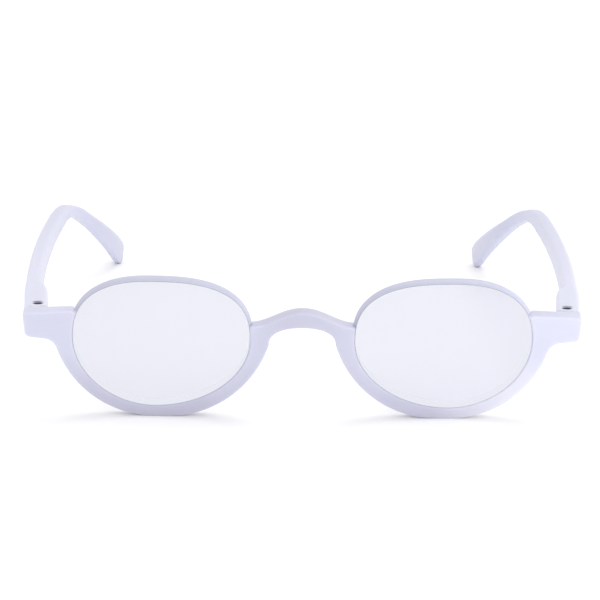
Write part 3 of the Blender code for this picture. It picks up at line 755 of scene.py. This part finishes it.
def edit_wide_faces(piece, sides):
    """Starts to edit the piece, with its faces of more sides than this selected."""
    select_only(piece)
    set_mode("EDIT")
    bpy.ops.mesh.select_mode(type="FACE")
    bpy.ops.mesh.select_all(action="DESELECT")
    set_mode("OBJECT")
    for face in piece.data.polygons:
        face.select = len(face.vertices) > sides
    set_mode("EDIT")


def finish_piece(piece, materials, body, node):
    """Smooths the piece, gives it its materials and puts it on its body in its node's place."""
    select_only(piece)
    bpy.ops.object.shade_smooth_by_angle(angle=SMOOTH_ANGLE)
    for material in materials:
        piece.data.materials.append(material)
    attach(piece, body)
    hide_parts(node)


def finish_pair(left, right_name, materials, body, node, slot):
    """Finishes a left piece and its mirrored copy; {} in body and node stands for the side."""
    right = mirrored_copy(left, right_name)
    for piece, side in ((left, "left"), (right, "right")):
        finish_piece(piece, materials, body.format(side), node.format(side))


def cut_below_floor(piece):
    across = (-PAST_GLASSES, PAST_GLASSES)
    boolean(piece, add_box("rest_plane_cut", across, across, (-PAST_GLASSES, 0.0)))


class Nodes:
    """A material's node tree, laid out in columns in the order in which nodes are added."""

    def __init__(self, name):
        self.material = bpy.data.materials.new(name)
        self.material.use_nodes = True
        self.tree = self.material.node_tree
        self.shader = self.tree.nodes["Principled BSDF"]
        self.coordinates = self.add("ShaderNodeTexCoord").outputs["Object"]

    def put(self, value, socket):
        """Feeds a socket from another one, or gives it a plain number or colour."""
        if isinstance(value, bpy.types.NodeSocket):
            self.tree.links.new(value, socket)
        elif socket.type == "RGBA":
            socket.default_value = (*value, 1.0)
        else:
            socket.default_value = value

    def feed(self, node, **values):
        """Puts values on a node's inputs; an underscore stands for a space in the name."""
        for name, value in values.items():
            self.put(value, node.inputs[name.replace("_", " ")])

    def add(self, kind, settings=(), **values):
        """Adds a node with these settings and with these values on its inputs."""
        column, row = divmod(len(self.tree.nodes), NODE_ROWS)
        node = self.tree.nodes.new(kind)
        node.location.x = NODES_START[0] + NODE_SPACE[0] * column
        node.location.y = NODES_START[1] - NODE_SPACE[1] * row
        for name, value in settings:
            setattr(node, name, value)
        self.feed(node, **values)
        return node

    def set(self, **values):
        self.feed(self.shader, **values)

    def noise(self, pattern):
        scale, detail = 1 / pattern[0], pattern[1]
        node = self.add("ShaderNodeTexNoise", Scale=scale, Detail=detail, Vector=self.coordinates)
        return node.outputs["Fac"]

    def spread(self, source, low, high, span=(0.0, 1.0)):
        """The source mapped from its span to low..high."""
        ends = {"From_Min": span[0], "From_Max": span[1], "To_Min": low, "To_Max": high}
        return self.add("ShaderNodeMapRange", Value=source, **ends).outputs["Result"]

    def calculate(self, operation, *values):
        """Sums up numbers or sockets; the result stays within 0 to 1."""
        node = self.add("ShaderNodeMath", (("operation", operation), ("use_clamp", True)))
        for value, socket in zip(values, node.inputs):
            self.put(value, socket)
        return node.outputs["Value"]

    def mix(self, factor, *colours):
        """One colour turned into another, each a colour or a socket."""
        node = self.add("ShaderNodeMix", (("data_type", "RGBA"),), Factor=factor)
        for colour, socket in zip(colours, (s for s in node.inputs if s.type == "RGBA")):
            self.put(colour, socket)
        return next(socket for socket in node.outputs if socket.type == "RGBA")

    def bump(self, height, shape, **under):
        depth, strength = shape
        node = self.add("ShaderNodeBump", Height=height, Distance=depth, Strength=strength, **under)
        return node.outputs["Normal"]

    def tint(self, colour, pattern, change):
        """Gives the shader a colour that noise changes by up to a share of it."""
        noise = self.noise(pattern)
        self.set(Base_Color=self.mix(noise, colour, [min(c * change, 1.0) for c in colour]))
        return noise


def plastic_material(name, finish, tone_with_painted_light_of):
    """Milky moulded plastic, clouded, with a fine satin skin; the tone function gives its colour by
    place, with painted light and shade.
    """
    nodes = Nodes(name)
    cloud = nodes.spread(nodes.noise(MILKY_CLOUDS), -CLOUD_CHANGE, CLOUD_CHANGE)
    place = nodes.add("ShaderNodeSeparateXYZ", Vector=nodes.coordinates).outputs
    tone = tone_with_painted_light_of(nodes, finish, place, cloud)
    mean = finish.plastic_roughness
    skin = nodes.spread(nodes.noise(SKIN), mean - SKIN_CHANGE, mean + SKIN_CHANGE)
    waves = nodes.bump(nodes.noise(WAVES), WAVE_BUMP)
    grain = nodes.bump(nodes.noise(GRAIN), GRAIN_BUMP, Normal=waves)
    nodes.set(
        Base_Color=tone, Roughness=skin, Normal=grain, IOR=1.49, Specular_IOR_Level=0.5,
        Subsurface_Weight=0.4, Subsurface_Radius=(3.0, 3.0, 4.0), Subsurface_Scale=0.6 * MM,
    )
    return nodes.material


def front_tone_and_painted_light(nodes, finish, place, cloud):
    """Painted shade towards the rim bottoms and over the nose, and painted light on the lower left
    rim.
    """
    # painted shade, darker towards the rim bottoms
    low = nodes.spread(place["Z"], 0.0, 1.0, RIM_PAINTED_SHADE)
    # painted light towards the left end
    painted_side_light = nodes.spread(place["X"], 0.0, 1.0, PAINTED_SIDE_LIGHT)
    across = nodes.calculate("ABSOLUTE", place["X"])
    # painted shade over the nose
    bridge = nodes.spread(across, BRIDGE_PAINTED_SHADE, 0.0, BRIDGE_SHADE_FADES)
    painted_nose_shade = nodes.calculate("MULTIPLY", bridge, nodes.calculate("SUBTRACT", 1.0, low))
    depth = nodes.calculate("ADD", nodes.calculate("ADD", low, painted_nose_shade), cloud)
    tone = nodes.mix(depth, finish.front, finish.front_painted_shade)
    # painted light on the lower left rim
    return nodes.mix(nodes.calculate("MULTIPLY", painted_side_light, low), tone, finish.front_painted_light)


def temple_tone_and_painted_shade(nodes, finish, place, cloud):
    """Painted shade, deeper towards the tip."""
    back = nodes.spread(place["Y"], 0.0, 1.0, TIP_PAINTED_SHADE)
    return nodes.mix(nodes.calculate("ADD", back, cloud), finish.temple, finish.temple_painted_shade)


def lens_material(finish):
    """Clear polished lens plastic with the faintest cleaning smears."""
    nodes = Nodes("polished_lens")
    gloss = nodes.spread(nodes.tint(finish.lens, SMEARS, SMEAR_TINT), *LENS_ROUGHNESS)
    nodes.set(Roughness=gloss, IOR=LENS_IOR, Alpha=finish.lens_veil)
    return nodes.material


def lens_edge_material(name, colour, glow=0.0):
    """The lens's ground edge: frosted, with a fine grinding grain. In its rim it is given a painted
    glow, though it is no lamp.
    """
    nodes = Nodes(name)
    nodes.tint(colour, EDGE_CLOUDS, EDGE_TINT)
    grain = nodes.noise(GRINDING)
    nodes.set(
        Roughness=nodes.spread(grain, *EDGE_ROUGHNESS), Normal=nodes.bump(grain, GRINDING_BUMP),
        # painted glow of the edge in the rim, though it is no lamp
        IOR=LENS_IOR, Emission_Color=(0.96, 0.97, 1.0), Emission_Strength=glow,
    )
    if glow:
        nodes.set(Specular_IOR_Level=0.0)
    return nodes.material


def steel_material(finish):
    """Dark plated steel with fine scratches."""
    nodes = Nodes("plated_steel")
    wear = nodes.tint(finish.steel, WEAR, WEAR_TINT)
    scratches = nodes.bump(nodes.noise(SCRATCHES), SCRATCH_BUMP)
    nodes.set(Roughness=nodes.spread(wear, *STEEL_ROUGHNESS), Normal=scratches, Metallic=1.0)
    return nodes.material


class GLASSES_OT_front(Operator):
    """Model the front: rims, bridge, end pieces, hinge pads and knuckles"""

    bl_idname = "glasses.front"
    bl_label = "Front"

    def execute(self, context):
        plan = Plan(context.scene.glasses_sizes)
        front = self.blank(plan)
        for side in SIDES:
            self.cut_groove(front, plan, side)
        self.prepare_faces(front)
        for vert in front.data.vertices:
            vert.co = plan.front_point(*vert.co)
        for side in SIDES:
            self.add_hinge_leaf(front, plan, side)
        cut_below_floor(front)
        finish = context.scene.glasses_finish
        # the front's plastic carries painted shade and painted light
        plastic = plastic_material("milky_front_plastic", finish, front_tone_and_painted_light)
        finish_piece(front, [plastic], "front", "front_frame")
        return {"FINISHED"}

    def blank(self, plan):
        """The flat front, extruded from its outline, with rounded edges."""
        front = prism("moulded_front", plan.front_outline(), (0.0, plan.sizes.front_thickness))
        select_only(front)
        for edge in front.data.edges:
            first, second = (front.data.vertices[i].co.z for i in edge.vertices)
            edge.select = first == second
        for face in front.data.polygons:
            face.select = len(face.vertices) > QUAD_SIDES
        set_mode("EDIT")
        bpy.ops.mesh.select_mode(type="EDGE")
        bpy.ops.mesh.bevel(offset=MOULDED_EDGE, segments=4, clamp_overlap=True)
        set_mode("OBJECT")
        return front

    def cut_groove(self, front, plan, side):
        """Cuts the lens groove into one rim, while the front is still flat."""
        turns = all_round(LENS_STATIONS)
        middle = plan.sizes.front_thickness / 2
        depth = plan.groove_depth
        rings = []
        for distance, reach in (
            (-RUNNING_CLEARANCE, -depth - RUNNING_CLEARANCE),
            (depth, 0.0),
            (-RUNNING_CLEARANCE, depth + RUNNING_CLEARANCE),
        ):
            points = [plan.lens_offset_point(turn, distance) for turn in turns]
            rings.append([Vector((side * u, w, middle + reach)) for u, w in points])
        boolean(front, loft("groove_cut", rings))

    def prepare_faces(self, front):
        """Frames the two wide faces with a narrow band and splits them, so that they can bow."""
        edit_wide_faces(front, WIDE_FACE_SIDES)
        bpy.ops.mesh.inset(thickness=FACE_BAND, depth=0.0)
        bpy.ops.mesh.quads_convert_to_tris(quad_method="BEAUTY", ngon_method="BEAUTY")
        set_mode("OBJECT")

    def add_hinge_leaf(self, front, plan, side):
        """Joins one hinge pad and its knuckle to the front and bores the knuckle."""
        sizes = plan.sizes
        inner = side * (plan.half_width - sizes.block_width + PAD_INSET)
        outer = side * (plan.half_width - PAD_INSET)
        y_range = (plan.pad_y - sizes.front_thickness / 2, plan.pad_y)
        pad = add_box("pad_shape", (inner, outer), y_range, (plan.block_bottom, plan.block_top))
        boolean(front, pad, "UNION")
        outline = [(side * x, y) for x, y in plan.knuckle_outline()]
        low, high = plan.knuckle_bottom, plan.knuckle_top
        boolean(front, prism("knuckle_shape", outline, (low, high)), "UNION")
        bore = sizes.screw_radius + SCREW_CLEARANCE
        profile = ((bore, low - CUT_MARGIN), (bore, high + CUT_MARGIN))
        boolean(front, turned("knuckle_bore", (side * plan.hinge_x, plan.hinge_y), profile))


class GLASSES_OT_lenses(Operator):
    """Model the two lenses, domed in front, hollow behind, with a ridge round the edge"""

    bl_idname = "glasses.lenses"
    bl_label = "Lenses"

    def execute(self, context):
        plan = Plan(context.scene.glasses_sizes)
        finish = context.scene.glasses_finish
        lens = loft("polished_left_lens", plan.flat_lens_rings())
        edit_wide_faces(lens, QUAD_SIDES)
        bpy.ops.mesh.poke()
        set_mode("OBJECT")
        self.mark_edge(lens, plan)
        for vert in lens.data.vertices:
            vert.co = plan.front_point(*vert.co)
        set_mode("EDIT")
        turn_faces_outwards()  # front_point mirrors the flat lens
        materials = [
            lens_material(finish),
            lens_edge_material("ground_lens_edge", finish.lens_edge),
            lens_edge_material("ground_lens_corner", finish.lens_corner_painted_shade),
            lens_edge_material("seated_lens_edge_painted_glow", finish.lens_seat, finish.seat_painted_glow),
        ]
        finish_pair(lens, "polished_right_lens", materials, "front", "{}_lens", "lens_plastic")
        return {"FINISHED"}

    def mark_edge(self, lens, plan):
        """Puts the bare edge, its two corners with their painted shade and the edge in the rim with
        its painted glow on their materials.
        """
        thickness = plan.sizes.front_thickness
        for face in lens.data.polygons:
            u, w, depth = face.center
            if abs(face.normal.z) > FACE_SLOPE:
                continue
            seated = w - plan.lens_w < (WING_TIP_UP if u < plan.lens_u else NOTCH_UP)
            near_corner = depth < LENS_EDGE_INSET + LENS_EDGE_CHAMFER
            far_corner = depth > thickness - LENS_EDGE_INSET - LENS_EDGE_CHAMFER
            if near_corner or far_corner and not seated:
                # painted shade on the corners
                face.material_index = 2
            else:
                # 3 is the edge in the rim, with its painted glow
                face.material_index = 3 if seated else 1


class GLASSES_OT_temples(Operator):
    """Model the two temples with their hinge forks, ear bends and flat tips"""

    bl_idname = "glasses.temples"
    bl_label = "Temples"

    def execute(self, context):
        plan = Plan(context.scene.glasses_sizes)
        temple = loft("moulded_left_temple", plan.temple_rings())
        self.cut_fork(temple, plan)
        cut_below_floor(temple)
        finish = context.scene.glasses_finish
        # the temples' plastic carries painted shade towards the tips
        plastic = [plastic_material("milky_temple_plastic", finish, temple_tone_and_painted_shade)]
        names = ("{}_temple_body", "{}_temple", "lilac_plastic")
        finish_pair(temple, "moulded_right_temple", plastic, *names)
        return {"FINISHED"}

    def cut_fork(self, temple, plan):
        """Rounds the fork's inner front corner, then cuts its slot and its screw hole."""
        sizes = plan.sizes
        low = plan.block_bottom - CUT_MARGIN
        high = plan.block_top + CUT_MARGIN
        boolean(temple, prism("fork_relief_cut", plan.fork_relief_outline(), (low, high)))
        reach = sizes.knuckle_radius + RUNNING_CLEARANCE
        slot = add_box(
            "fork_slot_cut",
            (plan.hinge_x - AXIS_FROM_BLOCK_FACES - CUT_MARGIN, plan.hinge_x + reach),
            (plan.pad_y - CUT_MARGIN, plan.hinge_y + reach),
            (plan.knuckle_bottom - RUNNING_CLEARANCE, plan.knuckle_top + RUNNING_CLEARANCE),
        )
        boolean(temple, slot)
        bore = sizes.screw_radius + SCREW_CLEARANCE
        head_bore = sizes.head_radius + 2 * SCREW_CLEARANCE
        floor = plan.head_top - HEAD_HEIGHT - SCREW_CLEARANCE
        boolean(temple, turned("screw_bore_cut", plan.hinge, (
            (bore, low),
            (bore, floor),
            (head_bore, floor),
            (head_bore, plan.block_top - BORE_CHAMFER),
            (head_bore + 2 * BORE_CHAMFER, plan.block_top + BORE_CHAMFER),
        )))


class GLASSES_OT_screws(Operator):
    """Model the two hinge screws with slotted heads"""

    bl_idname = "glasses.screws"
    bl_label = "Hinge screws"

    def execute(self, context):
        plan = Plan(context.scene.glasses_sizes)
        steel = [steel_material(context.scene.glasses_finish)]
        names = ("{}_temple_body", "{}_hinge_screw", "dark_steel")
        finish_pair(self.turned_screw(plan), "slotted_right_screw", steel, *names)
        return {"FINISHED"}

    def turned_screw(self, plan):
        """The screw, turned about its axis from its end to its head, with its drive slot."""
        shank, head = plan.sizes.screw_radius, plan.sizes.head_radius
        x, y = plan.hinge
        end = plan.block_bottom + SCREW_END_INSET
        top = plan.head_top
        screw = turned("slotted_left_screw", plan.hinge, (
            (shank - SCREW_CHAMFER, end),
            (shank, end + SCREW_CHAMFER),
            (shank, top - HEAD_HEIGHT),
            (head, top - HEAD_HEIGHT),
            (head, top - HEAD_ROUND),
            (head - HEAD_ROUND_MIDDLE, top - HEAD_ROUND_MIDDLE),
            (head - HEAD_ROUND, top),
        ))
        half = DRIVE_SLOT_WIDTH / 2
        slot = add_box(
            "drive_slot_cut",
            (x - 2 * head, x + 2 * head), (y - half, y + half), (top - DRIVE_SLOT_DEPTH, top + MM),
        )
        boolean(screw, slot)
        return screw


class GLASSES_OT_stage(Operator):
    """Lay the pale floor, set the soft lights and place the camera"""

    bl_idname = "glasses.stage"
    bl_label = "Stage"

    def execute(self, context):
        stage = context.scene.glasses_stage
        self.lay_floor(stage)
        self.set_lights(context.scene, stage)
        self.place_camera(context.scene, stage)
        context.scene.view_settings.view_transform = "Standard"
        return {"FINISHED"}

    def lay_floor(self, stage):
        bpy.ops.mesh.primitive_plane_add(size=8.0, location=(0.0, 1.0, 0.0))
        floor = bpy.context.object
        floor.name = "floor"
        nodes = Nodes("pale_floor")
        nodes.tint(stage.floor, FLOOR_CLOUDS, FLOOR_TINT)
        nodes.set(
            Roughness=0.9, Specular_IOR_Level=0.0,
            Emission_Color=(1.0, 1.0, 1.0), Emission_Strength=stage.floor_glow,
        )
        floor.data.materials.append(nodes.material)

    def set_lights(self, scene, stage):
        world = bpy.data.worlds.new("studio")
        world.use_nodes = True
        background = world.node_tree.nodes["Background"]
        background.inputs["Color"].default_value = (1.0, 1.0, 1.0, 1.0)
        background.inputs["Strength"].default_value = stage.sky_strength
        scene.world = world
        target = Vector(stage.camera_target)
        self.add_soft_box("key_box", stage.key_power, *KEY_BOX, target)
        self.add_soft_box("side_box", stage.side_power, *SIDE_BOX, target)
        bpy.ops.object.light_add(type="SUN", location=(0.2, 0.2, 1.0))
        sun = bpy.context.object
        sun.name = "overhead_light"
        sun.data.energy = stage.sun_strength
        sun.data.angle = math.radians(40.0)
        sun.visible_glossy = False  # it would draw a bright line along each upper edge
        sun.rotation_euler = (-sun.location).to_track_quat("-Z", "Y").to_euler()

    def add_soft_box(self, name, power, size, place, target):
        """A square soft box that faces its target."""
        bpy.ops.object.light_add(type="AREA", location=place)
        box = bpy.context.object
        box.name, box.data.size, box.data.energy = name, size, power
        box.rotation_euler = (target - Vector(place)).to_track_quat("-Z", "Y").to_euler()

    def place_camera(self, scene, stage):
        turn, rise, roll = stage.camera_turn, stage.camera_rise, stage.camera_roll
        ahead = Vector((
            math.sin(turn) * math.cos(rise), math.cos(turn) * math.cos(rise), -math.sin(rise)
        ))
        right = Vector((math.cos(turn), -math.sin(turn), 0.0))
        up = right.cross(ahead)
        tilted_right = right * math.cos(roll) + up * math.sin(roll)
        tilted_up = up * math.cos(roll) - right * math.sin(roll)
        place = Vector(stage.camera_target) - ahead * stage.camera_distance
        place -= tilted_right * stage.camera_left + tilted_up * stage.camera_down
        bpy.ops.object.camera_add(location=place)
        camera = bpy.context.object
        camera.name = "photo_camera"
        camera.data.lens = stage.camera_lens
        camera.data.clip_start = 0.01
        camera.rotation_euler = Matrix((tilted_right, tilted_up, -ahead)).transposed().to_euler()
        scene.camera = camera


class GLASSES_PT_tools(Panel):
    """Buttons for the pieces and the stage"""

    bl_label = "Reading Glasses"
    bl_space_type = "VIEW_3D"
    bl_region_type = "UI"
    bl_category = "Glasses"

    def draw(self, context):
        column = self.layout.column(align=True)
        for operator in OPERATORS:
            column.operator(operator.bl_idname)
        for name, group in GROUPS.items():
            box = self.layout.box()
            for setting in group.__annotations__:
                box.prop(getattr(context.scene, name), setting)


OPERATORS = (
    GLASSES_OT_front,
    GLASSES_OT_lenses,
    GLASSES_OT_temples,
    GLASSES_OT_screws,
    GLASSES_OT_stage,
)
GROUPS = {
    "glasses_finish": GlassesFinish,
    "glasses_stage": GlassesStage,
    "glasses_sizes": GlassesSizes,
}
CLASSES = (*GROUPS.values(), *OPERATORS, GLASSES_PT_tools)


def register():
    for cls in CLASSES:
        bpy.utils.register_class(cls)
    for name, group in GROUPS.items():
        setattr(bpy.types.Scene, name, PointerProperty(type=group))


def unregister():
    for name in GROUPS:
        delattr(bpy.types.Scene, name)
    for cls in reversed(CLASSES):
        bpy.utils.unregister_class(cls)


def main():
    register()
    bpy.ops.glasses.front()
    bpy.ops.glasses.lenses()
    bpy.ops.glasses.temples()
    bpy.ops.glasses.screws()
    bpy.ops.glasses.stage()


if __name__ == "__main__":
    main()
